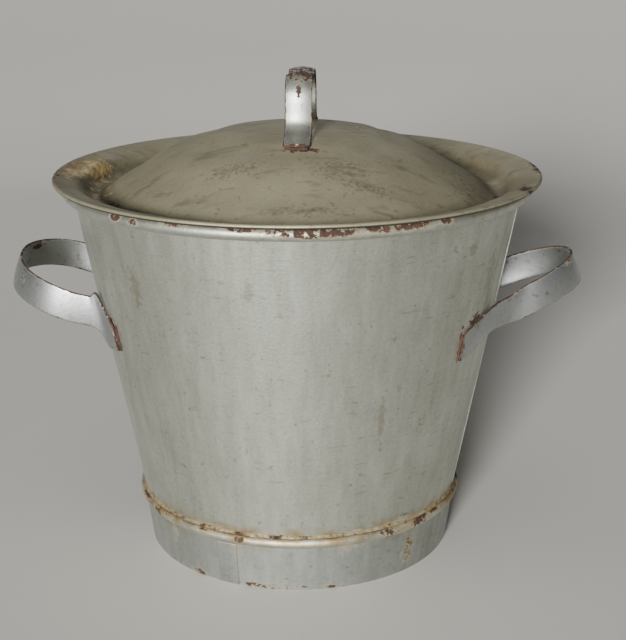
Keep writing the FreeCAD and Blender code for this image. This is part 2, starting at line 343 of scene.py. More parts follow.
def build_lathe():
    tree, given, result = new_tree("lathe", [
        ("Outline", "NodeSocketGeometry"), ("Segments", "NodeSocketInt"), ("Start", "NodeSocketFloat"),
        ("Sweep", "NodeSocketFloat"), ("Wander Out", "NodeSocketFloat"), ("Wander Up", "NodeSocketFloat"),
        ("Wander Size", "NodeSocketFloat"), ("Seed", "NodeSocketFloat"), ("Material", "NodeSocketMaterial")])
    outline = given.outputs["Outline"]
    size = add(tree, "GeometryNodeAttributeDomainSize", {0: outline})
    columns = add(tree, "FunctionNodeIntegerMath", {0: given.outputs["Segments"], 1: 1})
    grid = add(tree, "GeometryNodeMeshGrid", {"Size X": 1.0, "Size Y": 1.0, "Vertices X": columns,
                                              "Vertices Y": size.outputs["Point Count"]})
    cell = add(tree, "ShaderNodeSeparateXYZ", {0: add(tree, "GeometryNodeInputPosition").outputs[0]})
    share_round = add(tree, "ShaderNodeMath", {0: cell.outputs["X"], 1: 0.5})
    share_along = add(tree, "ShaderNodeMath", {0: cell.outputs["Y"], 1: 0.5})
    last = add(tree, "ShaderNodeMath", {0: size.outputs["Point Count"], 1: 1.0}, operation="SUBTRACT")
    row = add(tree, "ShaderNodeMath", {0: share_along, 1: last}, operation="MULTIPLY")
    index = add(tree, "FunctionNodeFloatToInt", {0: row}, rounding_mode="ROUND")
    point = add(tree, "GeometryNodeSampleIndex", {
        0: outline, 1: add(tree, "GeometryNodeInputPosition").outputs[0], "Index": index},
        data_type="FLOAT_VECTOR", domain="POINT")
    give_value = add(tree, "GeometryNodeInputNamedAttribute", {"Name": "give"}, data_type="FLOAT")
    give = add(tree, "GeometryNodeSampleIndex", {
        0: outline, 1: give_value.outputs["Attribute"], "Index": index},
        data_type="FLOAT", domain="POINT")
    turn = add(tree, "ShaderNodeMath", {0: share_round, 1: given.outputs["Sweep"],
                                        2: given.outputs["Start"]}, operation="MULTIPLY_ADD")
    placed = add(tree, "ShaderNodeVectorRotate", {"Vector": point.outputs[0], "Angle": turn},
                 rotation_type="Z_AXIS")
    noise = add(tree, "ShaderNodeTexNoise", {
        "Vector": placed, "W": given.outputs["Seed"], "Scale": given.outputs["Wander Size"],
        "Detail": 1.5, "Roughness": 0.45}, noise_dimensions="4D")
    swing = add(tree, "ShaderNodeMapRange", {0: noise.outputs[0], 1: 0.25, 2: 0.75, 3: -1.0, 4: 1.0})
    amount = add(tree, "ShaderNodeMath", {0: swing, 1: give.outputs[0]}, operation="MULTIPLY")
    flat = add(tree, "ShaderNodeVectorMath", {0: placed, 1: (1.0, 1.0, 0.0)}, operation="MULTIPLY")
    outward = add(tree, "ShaderNodeVectorMath", {0: flat}, operation="NORMALIZE")
    sideways = add(tree, "ShaderNodeVectorMath", {0: outward, "Scale": given.outputs["Wander Out"]},
                   operation="SCALE")
    upward = add(tree, "ShaderNodeCombineXYZ", {"Z": given.outputs["Wander Up"]})
    way = add(tree, "ShaderNodeVectorMath", {0: sideways, 1: upward})
    shift = add(tree, "ShaderNodeVectorMath", {0: way, "Scale": amount}, operation="SCALE")
    place = add(tree, "ShaderNodeVectorMath", {0: placed, 1: shift})
    moved = add(tree, "GeometryNodeSetPosition", {0: grid.outputs["Mesh"], "Position": place})
    closed = add(tree, "GeometryNodeMergeByDistance", {0: moved, "Distance": 2e-6})
    real = add(tree, "GeometryNodeRealizeInstances", {0: closed})
    dressed = add(tree, "GeometryNodeSetMaterial", {0: real, "Material": given.outputs["Material"]})
    plug(tree, dressed, result.inputs[0])
    return tree


LATHE = build_lathe()
print("lathe tree:", len(LATHE.nodes), "nodes")

# %% [markdown]
# A tree's result is turned into a plain mesh, its ends are closed and its faces turned outwards. A face
# is smooth unless it meets its neighbour at a real corner.

# %% From a tree to a finished piece
SHARP_CORNER = math.radians(42.0)


def polyline(name, points, gives):
    """A mesh of vertices joined in a row, in metres from millimetres, each with its give."""
    mesh = bpy.data.meshes.new(name)
    edges = [(i, i + 1) for i in range(len(points) - 1)]
    mesh.from_pydata([tuple(v * MM for v in p) for p in points], edges, [])
    layer = mesh.attributes.new("give", "FLOAT", "POINT")
    layer.data.foreach_set("value", gives)
    return mesh


def finish_mesh(mesh, sharp=SHARP_CORNER):
    """Merges doubles, closes open ends, turns faces outwards and marks the real corners."""
    shape = bmesh.new()
    shape.from_mesh(mesh)
    bmesh.ops.remove_doubles(shape, verts=shape.verts, dist=1e-6)
    bmesh.ops.dissolve_degenerate(shape, edges=shape.edges, dist=1e-7)
    open_edges = [edge for edge in shape.edges if edge.is_boundary]
    if open_edges:
        bmesh.ops.holes_fill(shape, edges=open_edges, sides=0)
    bmesh.ops.recalc_face_normals(shape, faces=shape.faces)
    shape.to_mesh(mesh)
    shape.free()
    mesh.shade_smooth()
    mesh.set_sharp_from_angle(angle=sharp)


def run_tree(name, mesh, tree, values):
    """Runs a Geometry Nodes tree on a mesh and returns the result as a plain object at the origin."""
    source = bpy.data.objects.new(name + "_source", mesh)
    bpy.context.scene.collection.objects.link(source)
    modifier = source.modifiers.new(tree.name, "NODES")
    modifier.node_group = tree
    for item in tree.interface.items_tree:
        if item.in_out == "INPUT" and item.name in values:
            modifier[item.identifier] = values[item.name]
    source.update_tag()
    graph = bpy.context.evaluated_depsgraph_get()
    made = bpy.data.meshes.new_from_object(source.evaluated_get(graph), depsgraph=graph)
    bpy.data.objects.remove(source)
    made.name = name
    finish_mesh(made)
    piece = bpy.data.objects.new(name, made)
    bpy.context.scene.collection.objects.link(piece)
    return piece


def lathe(name, outline, material, segments=256, start=0.0, sweep=360.0,
          out=0.0, up=0.0, size=70.0, seed=0.0):
    """Turns a closed outline of (radius, height, give) about the axis. Sizes in millimetres and degrees."""
    loop = outline + outline[:1]
    mesh = polyline(name, [(radius, 0.0, z) for radius, z, _ in loop], [give for _, _, give in loop])
    piece = run_tree(name, mesh, LATHE, {
        "Segments": segments, "Start": math.radians(start), "Sweep": math.radians(sweep),
        "Wander Out": out * MM, "Wander Up": up * MM, "Wander Size": 1 / (size * MM), "Seed": seed,
        "Material": material})
    print(f"{name}: {len(piece.data.polygons)} faces")
    return piece


# %% [markdown]
# ## Finishes
# The pot is hot-dip galvanised mild steel. Fresh zinc is bright with a crystal pattern, but decades of
# damp turn it to a dull grey oxide with darker drifts, pale bloom, brown stains and pinholes, and wherever
# the zinc is thin, at a bend, a cut edge or a joint, the steel rusts through. So the finish is built the
# same way: one aged zinc, over which stains and rust are laid by masks.

# %% Helpers for the finishes


def new_material(name):
    """An empty material with a Principled shader; returns the material, its tree and the shader."""
    material = bpy.data.materials.new(name)
    material.use_nodes = True
    tree = material.node_tree
    return material, tree, tree.nodes["Principled BSDF"]


def mapped(tree, scale=(1.0, 1.0, 1.0), shift=(0.0, 0.0, 0.0)):
    """Object coordinates in metres, stretched by scale about the origin."""
    coordinates = add(tree, "ShaderNodeTexCoord").outputs["Object"]
    return add(tree, "ShaderNodeMapping", {"Vector": coordinates, "Scale": scale, "Location": shift})


def drift(tree, size, low, high, top=1.0, stretch=(1.0, 1.0, 1.0), detail=4.0, shift=(0.0, 0.0, 0.0)):
    """Noise with patches of this size in millimetres, spread so that low..high becomes 0..top."""
    noise = add(tree, "ShaderNodeTexNoise", {"Vector": mapped(tree, stretch, shift), "Scale": 1 / (size * MM),
                                             "Detail": detail, "Roughness": 0.6})
    return add(tree, "ShaderNodeMapRange", {"Value": noise, "From Min": low, "From Max": high, "To Max": top})


def patch(tree, centre, radii, ragged=0.5, grain=6.0):
    """Mask of a ragged blot round a place, sizes in millimetres; it is soft over its outer half."""
    scale = [1 / (r * MM) for r in radii]
    shift = [-c * MM * s for c, s in zip(centre, scale)]
    reach = add(tree, "ShaderNodeVectorMath", {0: mapped(tree, scale, shift)}, operation="LENGTH")
    shift_edge = (centre[0] * 0.37, 1.3, centre[2] * 0.11)
    edge = drift(tree, grain, 0.3, 0.7, 2 * ragged, detail=6.0, shift=shift_edge)
    rough_reach = add(tree, "ShaderNodeMath", {0: reach, 1: edge}, operation="ADD")
    return add(tree, "ShaderNodeMapRange", {"Value": rough_reach, "From Min": 0.55 + ragged,
                                            "From Max": 1.2 + ragged, "To Min": 1.0, "To Max": 0.0})


def joined(tree, masks, operation="MAXIMUM"):
    """Several masks as one: the strongest of them, or their product or sum."""
    result = masks[0]
    for mask in masks[1:]:
        result = add(tree, "ShaderNodeMath", {0: result, 1: mask}, operation=operation)
    return result


def pinholes(tree, spacing, radius, share):
    """Small round specks: one in some of the cells of a Voronoi pattern, sizes in millimetres."""
    cells = add(tree, "ShaderNodeTexVoronoi", {"Vector": mapped(tree), "Scale": 1 / (spacing * MM)})
    near = add(tree, "ShaderNodeMapRange", {"Value": cells.outputs["Distance"], "From Min": radius / spacing,
                                            "From Max": radius / spacing * 0.5})
    pick = add(tree, "ShaderNodeSeparateColor", {0: cells.outputs["Color"]})
    chosen = add(tree, "ShaderNodeMath", {0: pick, 1: share}, operation="LESS_THAN")
    return joined(tree, [near, chosen], "MULTIPLY")


# %% [markdown]
# ### Aged galvanised zinc
# Zinc oxide is a fine chalky skin on bright metal, so the sheet reads as dull satin: metallic, with a high
# roughness that wanders from place to place. Drifts of tone lie over each other: broad clouds where the
# bath ran, upright streaks where water ran, a fine frosting, a film of grime and dark flecks and pinholes.
# The grain of real oxide is too fine to show, so the frosting is drawn at 1.7 mm.

# %% Aged zinc


def aged_zinc(tree, light, dark, grime, streak=0.4, film=0.15, fleck=0.66, gloss=0.6):
    """Colour, roughness and height of weathered zinc.

    light, dark and grime are hex colours; streak and film say how strong the water runs and the grime
    are, a lower fleck gives more dark flecks, and gloss is the middle roughness.
    """
    clouds = drift(tree, 55.0, 0.25, 0.75, 0.4)
    runs = drift(tree, 7.0, 0.3, 0.75, streak, stretch=(1.0, 1.0, 0.06), detail=6.0)
    frost = drift(tree, 1.7, 0.2, 0.8, 0.35, detail=3.0)
    tone = joined(tree, [clouds, runs, frost], "ADD")
    colour = add(tree, "ShaderNodeMix", {"Factor": tone, "A": linear(light), "B": linear(dark)},
                 data_type="RGBA")
    haze = drift(tree, 28.0, 0.3, 0.8, film, detail=8.0, shift=(3.1, 0.7, 0.0))
    colour = add(tree, "ShaderNodeMix", {"Factor": haze, "A": colour, "B": linear(grime)}, data_type="RGBA")
    flecks = drift(tree, 4.5, fleck, fleck + 0.1, 0.55, detail=8.0, shift=(0.4, 0.7, 2.0))
    pits = joined(tree, [pinholes(tree, 8.0, 0.6, 0.14), pinholes(tree, 3.1, 0.36, 0.08)])
    colour = add(tree, "ShaderNodeMix", {"Factor": flecks, "A": colour, "B": linear(grime)}, data_type="RGBA")
    specks = add(tree, "ShaderNodeMath", {0: pits, 1: 0.6}, operation="MULTIPLY")
    colour = add(tree, "ShaderNodeMix", {"Factor": specks, "A": colour, "B": linear("#3A3226")},
                 data_type="RGBA")
    rough = add(tree, "ShaderNodeMapRange", {"Value": joined(tree, [clouds, haze], "ADD"), "From Max": 0.8,
                                             "To Min": gloss - 0.08, "To Max": gloss + 0.12})
    height = joined(tree, [frost, pits], "SUBTRACT")
    return colour, rough, height


# %% [markdown]
# ### Rust and stains
# Rust is iron oxide: a porous crust, red-brown where it is young and nearly black where it is old, in a
# tan halo where water has washed it over the zinc. It isn't a metal to the eye, so the metallic value drops
# to zero under it, and it is matt and stands up from the sheet as a fine crumb. So one mask does both: its
# weak edge is the halo and its strong middle is the crust.

# %% Rust over zinc


def lay_rust(tree, under, mask, young="#4A2E20", old="#241914", halo="#75643F", bare=0.95):
    """Rust over a finish of (colour, roughness, height); bare is how metallic the zinc beside it is."""
    colour, rough, height = under
    crumb = drift(tree, 1.6, 0.3, 0.7, 0.35, detail=6.0, shift=(0.0, 2.0, 0.0))
    body = drift(tree, 3.0, 0.35, 0.65, detail=5.0, shift=(1.0, 0.0, 0.0))
    wash = add(tree, "ShaderNodeMapRange", {"Value": mask, "From Max": 0.6, "To Max": 0.75})
    crust = add(tree, "ShaderNodeMapRange", {"Value": joined(tree, [mask, crumb], "ADD"), "From Min": 0.72,
                                             "From Max": 1.0})
    colour = add(tree, "ShaderNodeMix", {"Factor": wash, "A": colour, "B": linear(halo)}, data_type="RGBA")
    oxide = add(tree, "ShaderNodeMix", {"Factor": body, "A": linear(young), "B": linear(old)},
                data_type="RGBA")
    colour = add(tree, "ShaderNodeMix", {"Factor": crust, "A": colour, "B": oxide}, data_type="RGBA")
    rough = add(tree, "ShaderNodeMix", {"Factor": crust, "A": rough, "B": 0.86}, data_type="FLOAT")
    height = add(tree, "ShaderNodeMath", {0: crust, 1: 1.6, 2: joined(tree, [height, crumb], "ADD")},
                 operation="MULTIPLY_ADD")
    covered = joined(tree, [crust, wash])
    metal = add(tree, "ShaderNodeMapRange", {"Value": covered, "To Min": bare, "To Max": 0.0})
    return colour, rough, height, metal


def lay_stain(tree, under, mask, tint, depth=0.6):
    """A thin see-through stain over a finish."""
    colour, rough, height = under
    wet = add(tree, "ShaderNodeMath", {0: mask, 1: depth}, operation="MULTIPLY")
    colour = add(tree, "ShaderNodeMix", {"Factor": wet, "A": colour, "B": linear(tint)}, data_type="RGBA")
    return colour, rough, height


def wire_up(tree, shader, finish, relief):
    """Connects a finish to its shader; relief is the height in millimetres that a height of 1 stands for."""
    colour, rough, height, metal = finish
    bump = add(tree, "ShaderNodeBump", {"Height": height, "Distance": relief * MM, "Strength": 1.0})
    for name, value in (("Base Color", colour), ("Roughness", rough), ("Metallic", metal), ("Normal", bump)):
        plug(tree, value, shader.inputs[name])


def height_of(tree):
    """Height above the floor, in millimetres."""
    place = add(tree, "ShaderNodeSeparateXYZ", {0: mapped(tree)})
    return add(tree, "ShaderNodeMath", {0: place.outputs["Z"], 1: 1 / MM}, operation="MULTIPLY")


def band(tree, value, low, high, fade):
    """Mask that is 1 between low and high and fades out beyond them."""
    rise = add(tree, "ShaderNodeMapRange", {"Value": value, "From Min": low - fade, "From Max": low})
    fall = add(tree, "ShaderNodeMapRange", {"Value": value, "From Min": high, "From Max": high + fade,
                                            "To Min": 1.0, "To Max": 0.0})
    return joined(tree, [rise, fall], "MULTIPLY")


print("finish helpers ready")

# %% [markdown]
# ### The wall
# Galvanised sheet, rolled to a cone. It is the cleanest part of the pot: a pale satin grey with upright
# water streaks. A tan wash with rusty knots follows the crevice over the bead, rust spreads round the feet
# of the straps, and it has broken through the zinc on top of the curl in flecks, where the sheet was
# stretched most and the lid rubs.

# %% Wall finish
# place and radii of each region, in millimetres
CURL_RUST = [((8.0, -144.0, 233.0), (32.0, 14.0, 4.6)), ((54.0, -134.0, 233.6), (32.0, 18.0, 3.6)),
             ((80.0, -120.5, 233.2), (5.0, 5.0, 3.0)), ((-100.0, -104.0, 232.6), (5.0, 5.0, 2.6)),
             ((-89.0, -113.0, 231.5), (4.0, 4.0, 2.2)), ((-67.0, -128.0, 234.0), (9.0, 7.0, 2.2)),
             ((-30.0, -141.0, 233.8), (12.0, 6.0, 1.8)), ((10.0, 144.0, 233.0), (24.0, 12.0, 3.6)),
             ((-80.0, 119.0, 233.2), (14.0, 12.0, 3.4))]
FOOT_RUST = [((-109.0, -55.0, 149.0), (5.0, 5.5, 11.5)), ((95.5, -78.0, 147.0), (3.2, 4.0, 11.0)),
             ((103.5, -70.5, 161.0), (7.0, 6.0, 4.2)), ((-109.0, 55.0, 149.0), (5.0, 5.0, 11.0)),
             ((96.0, 78.0, 147.0), (4.0, 4.0, 11.0))]
WALL_STAINS = [((-92.0, -92.0, 186.0), (3.5, 5.0, 11.0)), ((-28.0, -128.5, 194.0), (3.0, 4.0, 7.0)),
               ((99.0, -91.0, 210.0), (3.0, 4.0, 3.6)), ((47.0, -105.0, 112.0), (2.0, 5.0, 17.0)),
               ((112.0, -62.0, 190.0), (4.0, 9.0, 34.0)), ((-20.0, 125.0, 170.0), (5.0, 6.0, 16.0))]


def galvanised_wall():
    material, tree, shader = new_material("aged_galvanised_wall")
    zinc = aged_zinc(tree, "#D6D7CC", "#96998C", "#6E6B52", streak=0.38, film=0.2, fleck=0.62, gloss=0.5)
    stains = joined(tree, [patch(tree, centre, radii, 0.9, grain=4.0) for centre, radii in WALL_STAINS])
    zinc = lay_stain(tree, zinc, stains, "#7A6F50", 0.4)
    scuffs = drift(tree, 14.0, 0.62, 0.7, stretch=(1.0, 1.0, 7.0), detail=5.0, shift=(5.0, 1.0, 0.0))
    zinc = lay_stain(tree, zinc, scuffs, "#6E6C5A", 0.45)
    z = height_of(tree)
    washed = joined(tree, [band(tree, z, 36.0, 39.0, 5.0), drift(tree, 13.0, 0.42, 0.62)], "MULTIPLY")
    zinc = lay_stain(tree, zinc, washed, "#9A7C44", 0.7)
    knots = joined(tree, [band(tree, z, 36.0, 38.0, 2.2), drift(tree, 14.0, 0.47, 0.64, detail=8.0,
                                                                shift=(0.0, 0.0, 4.0))], "MULTIPLY")
    broken = drift(tree, 3.4, 0.38, 0.5, detail=8.0, shift=(2.0, 2.0, 0.0))
    region = joined(tree, [patch(tree, centre, radii, 0.2, grain=5.0) for centre, radii in CURL_RUST])
    at_feet = [patch(tree, centre, radii, 0.9, grain=3.0) for centre, radii in FOOT_RUST]
    rust = joined(tree, [joined(tree, [region, broken], "MULTIPLY"), knots] + at_feet)
    wire_up(tree, shader, lay_rust(tree, zinc, rust), 0.1)
    return material


WALL_FINISH = galvanised_wall()
print("wall finish:", len(WALL_FINISH.node_tree.nodes), "nodes")

# %% [markdown]
# ### The foot hoop
# The same sheet, a shade cooler, as this hoop was rolled from another plate. Its bead holds water, so its
# top is washed tan, with rusty knots that drip down the band in a few places, and the cut lower edge, which
# stands in every puddle, is rusty in stretches. A cream band along the bead is a painted highlight, and a
# dull tan band under the bead is painted shade.

# %% Foot finish
# place and radii of each drip, and how far it has gone: under 0.6 it is only a stain
DRIPS = [((66.6, -74.6, 17.0), (3.6, 5.0, 12.0), 0.7), ((-37.0, -93.0, 25.0), (2.6, 4.0, 7.0), 0.4),
         ((-76.0, -64.0, 25.0), (3.0, 3.0, 7.0), 0.45), ((30.0, -97.0, 28.0), (9.0, 4.0, 4.0), 0.4),
         ((-60.0, 80.0, 15.0), (3.0, 3.0, 12.0), 0.6), ((50.0, 88.0, 22.0), (4.0, 3.0, 9.0), 0.5),
         ((-86.0, -54.0, 33.0), (7.0, 9.0, 3.0), 0.8), ((52.0, -88.0, 34.0), (7.0, 6.0, 3.0), 0.9),
         ((73.0, -73.0, 34.0), (9.0, 8.0, 3.4), 0.95), ((-37.0, -97.0, 33.0), (4.0, 5.0, 2.4), 0.8)]
EDGE_RUST = [((-20.0, -97.5, 1.4), (24.0, 8.0, 2.4)), ((20.0, -95.5, 1.0), (9.0, 6.0, 1.8)),
             ((-62.0, -75.0, 1.4), (6.0, 6.0, 2.6)), ((30.0, 93.0, 1.0), (24.0, 8.0, 2.4))]


def galvanised_foot():
    material, tree, shader = new_material("aged_galvanised_foot")
    zinc = aged_zinc(tree, "#BFC2BE", "#888C84", "#67624B", streak=0.4, film=0.4, fleck=0.6, gloss=0.54)
    z = height_of(tree)
    # painted highlight: a cream band along the top of the bead
    painted_bead_highlight = joined(tree, [band(tree, z, 31.0, 37.0, 2.0), drift(tree, 30.0, 0.2, 0.6)], "MULTIPLY")
    zinc = lay_stain(tree, zinc, painted_bead_highlight, "#DDD0AE", 0.5)
    washed = joined(tree, [band(tree, z, 33.5, 37.0, 3.5), drift(tree, 13.0, 0.42, 0.6)], "MULTIPLY")
    zinc = lay_stain(tree, zinc, washed, "#94753F", 0.7)
    # painted shade: a dull tan band under the bead
    painted_shade_under_bead = joined(tree, [band(tree, z, 27.0, 29.6, 2.5), drift(tree, 20.0, 0.5, 0.65)], "MULTIPLY")
    zinc = lay_stain(tree, zinc, painted_shade_under_bead, "#8A7A55", 0.5)
    crevice = joined(tree, [band(tree, z, 35.9, 37.0, 0.5), drift(tree, 10.0, 0.3, 0.6)], "MULTIPLY")
    zinc = lay_stain(tree, zinc, crevice, "#4A3420", 0.8)
    knots = joined(tree, [band(tree, z, 34.9, 37.0, 1.6), drift(tree, 14.0, 0.47, 0.64, detail=8.0,
                                                                shift=(0.0, 0.0, 4.0))], "MULTIPLY")
    drips = [joined(tree, [patch(tree, centre, radii, 0.9, grain=3.0), far], "MULTIPLY")
             for centre, radii, far in DRIPS]
    flecks = drift(tree, 3.5, 0.44, 0.56, detail=8.0, shift=(2.0, 2.0, 0.0))
    edge = joined(tree, [patch(tree, centre, radii, 0.5, grain=5.0) for centre, radii in EDGE_RUST])
    rust = joined(tree, drips + [knots, joined(tree, [edge, flecks], "MULTIPLY")])
    wire_up(tree, shader, lay_rust(tree, zinc, rust, halo="#75643C"), 0.1)
    return material


FOOT_FINISH = galvanised_foot()
print("foot finish:", len(FOOT_FINISH.node_tree.nodes), "nodes")

# %% [markdown]
# ### The lid
# The lid has caught every splash of fat and smoke, so its zinc is hidden under an olive-brown film with
# fine dark specks. The well is darkened by painted shade with grime in it, and the underside of the hem
# is painted nearly black as shade. Burnt-on varnish, glossy and crinkled like resin, its pale crinkles
# partly painted highlights, sits in the well on the left, and brown grime and rust on the right.

# %% Lid finish
VARNISH = [((-128.0, 30.0, 233.0), (13.0, 24.0, 9.0)), ((-139.0, 8.0, 237.0), (7.0, 20.0, 5.0)),
           ((-122.0, -16.0, 229.0), (8.0, 16.0, 6.0))]
LID_RUST = [((121.0, -30.0, 227.0), (4.0, 14.0, 5.0)), ((133.0, -60.0, 236.5), (4.0, 14.0, 3.0)),
            ((-112.0, -52.0, 226.0), (6.0, 11.0, 5.0)), ((3.0, -54.0, 260.6), (11.0, 3.0, 3.0)),
            ((149.0, 8.0, 237.0), (2.6, 26.0, 4.0)), ((-149.0, -22.0, 237.0), (2.6, 20.0, 4.0))]
LID_SMUDGES = [((24.0, -74.0, 254.0), (13.0, 7.0, 6.0)), ((-39.0, -70.0, 253.0), (14.0, 5.0, 6.0)),
               ((50.0, -84.0, 247.0), (20.0, 4.0, 6.0)), ((8.0, -105.0, 240.0), (16.0, 3.0, 6.0)),
               ((104.0, -44.0, 238.0), (9.0, 16.0, 9.0)), ((34.0, 20.0, 262.0), (16.0, 22.0, 6.0)),
               ((-60.0, 60.0, 252.0), (18.0, 12.0, 8.0))]
BROWNED = [((-142.0, 10.0, 237.0), (14.0, 62.0, 14.0)), ((128.0, -34.0, 232.0), (20.0, 34.0, 14.0)),
           ((112.0, 40.0, 232.0), (22.0, 30.0, 14.0))]


def smoked_lid():
    material, tree, shader = new_material("smoked_galvanised_lid")
    zinc = aged_zinc(tree, "#AAA58B", "#807B61", "#5A543D", streak=0.0, film=0.4, fleck=0.6, gloss=0.52)
    smudges = [patch(tree, centre, radii, 1.6, grain=2.2) for centre, radii in LID_SMUDGES]
    zinc = lay_stain(tree, zinc, joined(tree, smudges), "#3F3A2A", 0.36)
    wiped = drift(tree, 12.0, 0.56, 0.68, stretch=(0.4, 1.6, 1.0), detail=8.0, shift=(4.0, 2.0, 0.0))
    zinc = lay_stain(tree, zinc, wiped, "#4C4632", 0.4)
    browned = [patch(tree, centre, radii, 0.5, grain=16.0) for centre, radii in BROWNED]
    zinc = lay_stain(tree, zinc, joined(tree, browned), "#6A5230", 0.35)
    # painted shade with grime: the well is darkened all round
    well_shade_and_grime = joined(tree, [band(tree, height_of(tree), 220.0, 227.5, 4.0), drift(tree, 22.0, 0.3, 0.62)],
                     "MULTIPLY")
    zinc = lay_stain(tree, zinc, well_shade_and_grime, "#3E3626", 0.55)
    flat = add(tree, "ShaderNodeVectorMath", {0: mapped(tree), 1: (1.0, 1.0, 0.0)}, operation="MULTIPLY")
    out = add(tree, "ShaderNodeVectorMath", {0: flat}, operation="LENGTH")
    at_edge = band(tree, joined(tree, [out, 1 / MM], "MULTIPLY"), LID_RADIUS - 1.0, LID_RADIUS + 1.0, 0.8)
    # painted shade: the underside of the rolled hem is turned nearly black
    painted_shade_under_hem = band(tree, height_of(tree), 230.0, 236.2, 0.7)
    zinc = lay_stain(tree, zinc, joined(tree, [at_edge, painted_shade_under_hem], "MULTIPLY"), "#2A2119", 0.92)
    colour, rough, height = zinc
    varnish = joined(tree, [patch(tree, centre, radii, 0.8, grain=7.0) for centre, radii in VARNISH])
    crinkle = drift(tree, 6.0, 0.35, 0.65, stretch=(1.0, 0.35, 1.0), detail=5.0, shift=(0.0, 1.0, 0.0))
    # amber resin colour; its pale crinkles are partly painted highlights
    resin_and_painted_highlights = add(tree, "ShaderNodeMix", {"Factor": crinkle, "A": linear("#DCC27A"), "B": linear("#6B4614")},
                data_type="RGBA")
    colour = add(tree, "ShaderNodeMix", {"Factor": varnish, "A": colour, "B": resin_and_painted_highlights}, data_type="RGBA")
    rough = add(tree, "ShaderNodeMix", {"Factor": varnish, "A": rough, "B": 0.28}, data_type="FLOAT")
    thick = joined(tree, [varnish, crinkle], "MULTIPLY")
    height = add(tree, "ShaderNodeMath", {0: thick, 1: 4.0, 2: height}, operation="MULTIPLY_ADD")
    rust = joined(tree, [patch(tree, centre, radii, 1.0, grain=3.5) for centre, radii in LID_RUST])
    colour, rough, height, metal = lay_rust(tree, (colour, rough, height), rust, bare=0.6)
    metal = add(tree, "ShaderNodeMix", {"Factor": varnish, "A": metal, "B": 0.1}, data_type="FLOAT")
    wire_up(tree, shader, (colour, rough, height, metal), 0.12)
    return material


LID_FINISH = smoked_lid()
print("lid finish:", len(LID_FINISH.node_tree.nodes), "nodes")

# %% [markdown]
# ### The straps
# Hands keep the straps clean: the zinc is polished to a silvery satin, smoother than the sheet. The sheared
# edges were bare steel from the day they were cut, so a thin broken line of rust follows them. The mesh of
# each strap carries an attribute named edge, 0 in the middle and above 1 on the cut faces, and the mask
# reads that.

# %% Strap finish


def handled_strap(name, light, dark, patches, tip_rust):
    """Polished zinc-dipped strap; patches are rust blots, and a blot may also be painted shade; tip_rust is
    how far rust comes in from an edge.
    """
    material, tree, shader = new_material(name)
    zinc = aged_zinc(tree, light, dark, "#6E6A5A", streak=0.0, film=0.35, fleck=0.58, gloss=0.46)
    edge = add(tree, "ShaderNodeAttribute", attribute_name="edge").outputs["Fac"]
    eaten = drift(tree, 5.0, 0.35, 0.7, tip_rust, detail=6.0, shift=(0.0, 0.0, 3.0))
    along_edge = add(tree, "ShaderNodeMapRange", {"Value": joined(tree, [edge, eaten], "ADD"),
                                                  "From Min": 1.2, "From Max": 1.55})
    blots = [patch(tree, centre, radii, 1.0, grain=2.5) for centre, radii in patches]
    rust = joined(tree, blots + [along_edge])
    wire_up(tree, shader, lay_rust(tree, zinc, rust, young="#4A3220", halo="#6E5E40", bare=1.0), 0.09)
    return material


SIDE_STRAP_FINISH = handled_strap("polished_galvanised_strap", "#C4C7C7", "#8A8D8C", [
    ((-165.0, -30.0, 178.0), (3.0, 5.0, 3.0)), ((166.0, -18.0, 184.0), (5.0, 4.0, 3.0)),
    ((-168.0, 25.0, 184.0), (5.0, 8.0, 3.0)), ((95.0, -78.0, 146.0), (1.6, 2.6, 9.0))], 0.6)
LID_STRAP_FINISH = handled_strap("polished_galvanised_lid_strap", "#CDCDC6", "#8E8F86", [
    ((3.0, -52.0, 261.2), (10.0, 4.0, 1.8)), ((1.0, -27.0, 291.0), (1.5, 5.0, 4.0)),
    # the last blot lays rust over the whole top of the strap, partly as painted shade
    ((4.0, -8.0, 298.6), (13.0, 26.0, 3.4))], 0.7)
print("strap finishes ready")

# %% [markdown]
# ### Solder, weld metal and wire
# Soft solder dries to a dull lead grey and holds tan wash and rusty knots from the crevice beside it. The
# weld beads were never dipped, so they are almost all rust. The wire in the curl is drawn steel, seen only
# from below.

# %% Joint finishes


def crusted_metal(name, metal_colour, rust_low, rust_high, size):
    """Bare joint metal, rusty wherever noise of this size in millimetres passes between the two levels."""
    material, tree, shader = new_material(name)
    tone = drift(tree, 3.0, 0.3, 0.7)
    colour = add(tree, "ShaderNodeMix", {"Factor": tone, "A": linear(metal_colour), "B": linear("#6A5F48")},
                 data_type="RGBA")
    rough = add(tree, "ShaderNodeMapRange", {"Value": tone, "To Min": 0.5, "To Max": 0.66})
    under = (colour, rough, drift(tree, 1.2, 0.3, 0.7))
    mask = drift(tree, size, rust_low, rust_high, detail=6.0, shift=(0.0, 0.0, 4.0))
    wire_up(tree, shader, lay_rust(tree, under, mask, bare=0.5), 0.15)
    return material


SOLDER_FINISH = crusted_metal("rust_stained_solder", "#A89A78", 0.42, 0.66, 9.0)
WELD_FINISH = crusted_metal("rusted_weld_metal", "#6E6A5E", 0.22, 0.36, 4.0)
WIRE_FINISH = crusted_metal("drawn_steel_wire", "#85837A", 0.5, 0.62, 8.0)
print("joint finishes ready")

# %% [markdown]
# ## Wall with its curl
# One outline: up the outer face, over the wire, back round the outside of the curl and down the inner
# face. The folded side seam is a low strip on the outside, turned with the same lathe over a few degrees.

# %% Build the wall
CURL_INNER = WIRE_RADIUS
CURL_OUTER = WIRE_RADIUS + SHEET
CURL_END = -112.0
SEAM_AZIMUTH = -14.0
SEAM_WIDTH = 7.0
SEAM_RISE = 0.4


def curl_centre():
    """Middle of the rim wire, placed so that the sheet runs tangent into the curl."""
    middle = CURL_INNER + SHEET / 2
    z = CURL_Z + middle * math.sin(WALL_ANGLE)
    return wall_radius(z) - SHEET / 2 / math.cos(WALL_ANGLE) + middle * math.cos(WALL_ANGLE), CURL_Z


